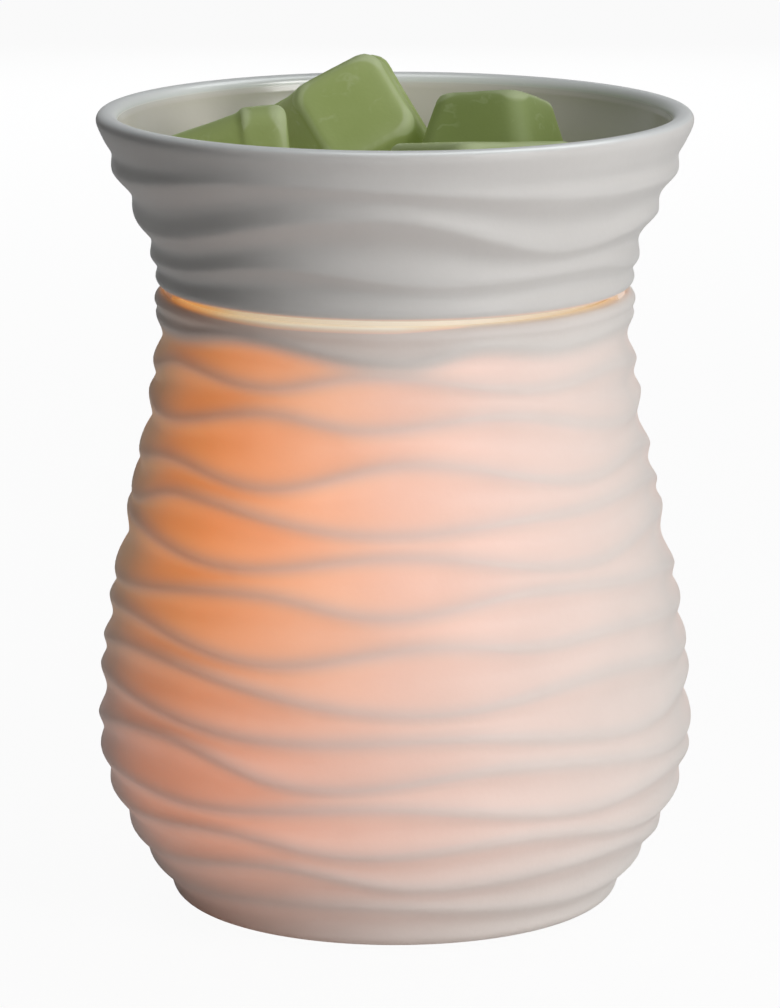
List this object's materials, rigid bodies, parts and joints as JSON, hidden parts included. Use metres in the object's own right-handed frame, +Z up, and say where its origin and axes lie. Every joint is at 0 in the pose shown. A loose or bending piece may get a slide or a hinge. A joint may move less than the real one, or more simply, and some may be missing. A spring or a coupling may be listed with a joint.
{
  "type": "wax warmer pot",
  "caption": "Rippled porcelain lamp body with a lift-off flared dish of wax cubes, warmed by a twist-lock reflector lamp inside on a clamped base.",
  "frame": {"origin": "on the table under the middle of the pot, level with the bottoms of the rubber feet", "axes": "+Z up, -Y to the front that the picture shows, +Y to the back with the cord bush"},
  "size_m": [0.1174, 0.1174, 0.1656],
  "materials": {
    "body_porcelain": "satin glazed porcelain, lit orange from inside",
    "dish_porcelain": "satin outside, glossy glaze inside",
    "green_wax": "waxy, frosted on the edges",
    "plate_steel": "zinc plated",
    "zinc_fasteners": "zinc plated",
    "pale_silicone": "matt silicone",
    "foot_rubber": "matt",
    "bush_rubber": "matt",
    "steatite": "unglazed, smooth",
    "contact_brass": "bright",
    "lamp_ceramic": "unglazed, smooth",
    "pin_metal": "bright nickel",
    "lamp_mirror": "coated, faceted",
    "lamp_glass": "clear",
    "capsule_glass": "clear",
    "filament_wire": "glowing",
    "terminal_plastic": "moulded",
    "lead_sleeving": "silicone sleeving"
  },
  "bodies": {
    "pot": {"ripple_body": "body_porcelain", "floor_ring": "body_porcelain", "base_plate": "plate_steel", "base_gasket": "pale_silicone", "foot_1": "foot_rubber", "foot_2": "foot_rubber", "foot_3": "foot_rubber", "foot_4": "foot_rubber", "clamp_bar": "plate_steel", "clamp_pads": "pale_silicone", "clamp_bolts": "zinc_fasteners", "clamp_nuts": "zinc_fasteners", "lampholder_body": "steatite", "lampholder_contact_right": "contact_brass", "lampholder_contact_left": "contact_brass", "lampholder_screws": "zinc_fasteners", "terminal_housing": "terminal_plastic", "terminal_sleeves": "contact_brass", "terminal_screws": "contact_brass", "terminal_fixing_screw": "zinc_fasteners", "lead_wire_right": "lead_sleeving", "lead_wire_left": "lead_sleeving", "cord_grommet": "bush_rubber"},
    "dish": {"wax_dish": "dish_porcelain"},
    "lamp": {"lamp_base": "lamp_ceramic", "lamp_pins": "pin_metal", "lamp_reflector": "lamp_mirror", "lamp_front_glass": "lamp_glass", "lamp_capsule": "capsule_glass", "lamp_filament": "filament_wire"},
    "cube_left": {"wax_cube_left": "green_wax"},
    "cube_middle": {"wax_cube_middle": "green_wax"},
    "cube_right": {"wax_cube_right": "green_wax"},
    "cube_front": {"wax_cube_front": "green_wax"}
  },
  "joints": [
    {"name": "dish_lift", "type": "slide", "parent": "pot", "child": "dish", "axis": [0, 0, 1], "range_m": [0, 0.1]},
    {"name": "lamp_twist", "type": "hinge", "parent": "pot", "child": "lamp", "pos_m": [0, 0, 0.0396], "axis": [0, 0, 1], "range_deg": [0, 40]},
    {"name": "cube_left_lift", "type": "slide", "parent": "dish", "child": "cube_left", "axis": [0, 0, 1], "range_m": [0, 0.05]},
    {"name": "cube_middle_lift", "type": "slide", "parent": "dish", "child": "cube_middle", "axis": [0, 0, 1], "range_m": [0, 0.05]},
    {"name": "cube_right_lift", "type": "slide", "parent": "dish", "child": "cube_right", "axis": [0, 0, 1], "range_m": [0, 0.05]},
    {"name": "cube_front_lift", "type": "slide", "parent": "dish", "child": "cube_front", "axis": [0, 0, 1], "range_m": [0, 0.05]}
  ]
}
